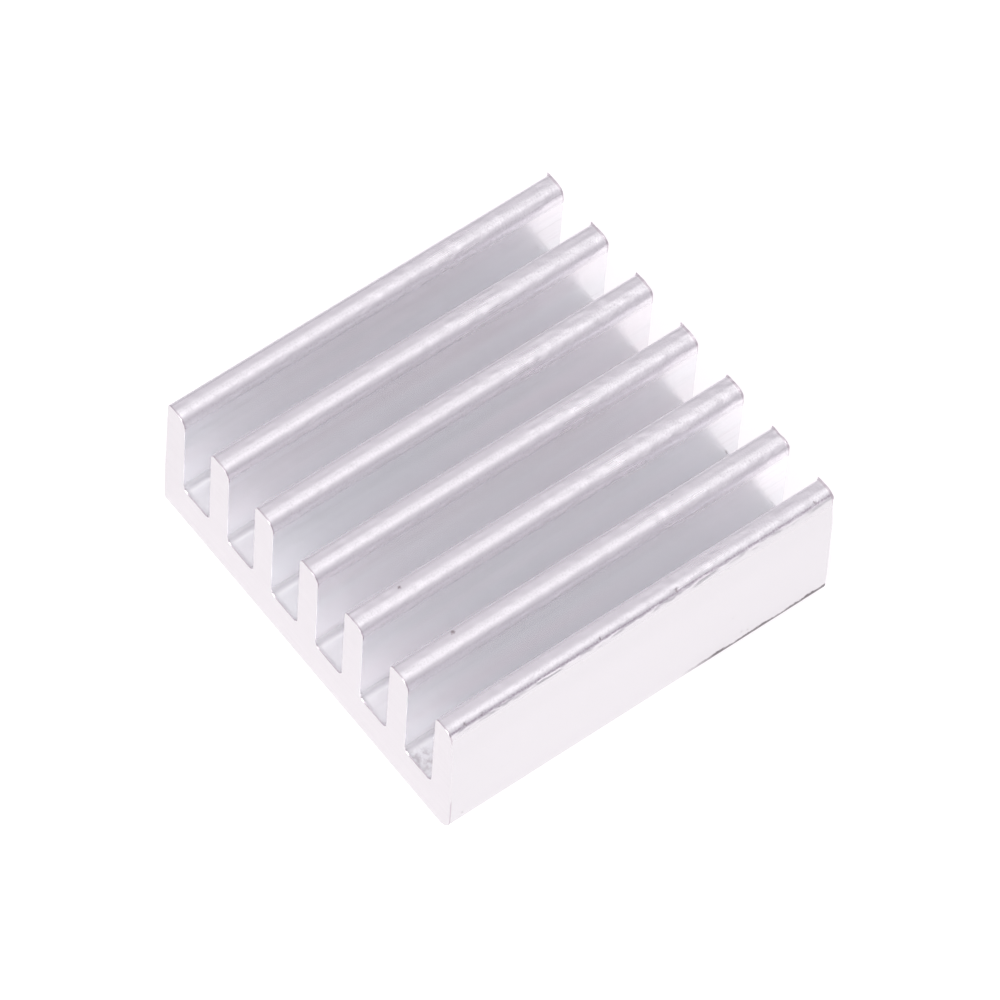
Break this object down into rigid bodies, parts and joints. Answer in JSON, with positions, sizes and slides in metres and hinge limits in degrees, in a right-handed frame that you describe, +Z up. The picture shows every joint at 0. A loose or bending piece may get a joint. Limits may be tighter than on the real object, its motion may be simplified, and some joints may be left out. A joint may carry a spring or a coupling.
{
  "type": "heat sink",
  "caption": "Small square straight-fin heat sink of raw extruded aluminium: a flat base with upright parallel fins that have rounded tips, sawn at both ends.",
  "frame": {"origin": "centre of the flat underside", "axes": "+Z up along the height of the fins, +Y along the length of the fins, +X across them, towards the side whose long bottom edge is eased"},
  "size_m": [0.016, 0.0158, 0.006],
  "materials": {
    "raw_aluminium": "mill finish, satin, with fine lines along the fins and matt sawn ends"
  },
  "bodies": {
    "root": {"heat_sink": "raw_aluminium"}
  },
  "joints": []
}
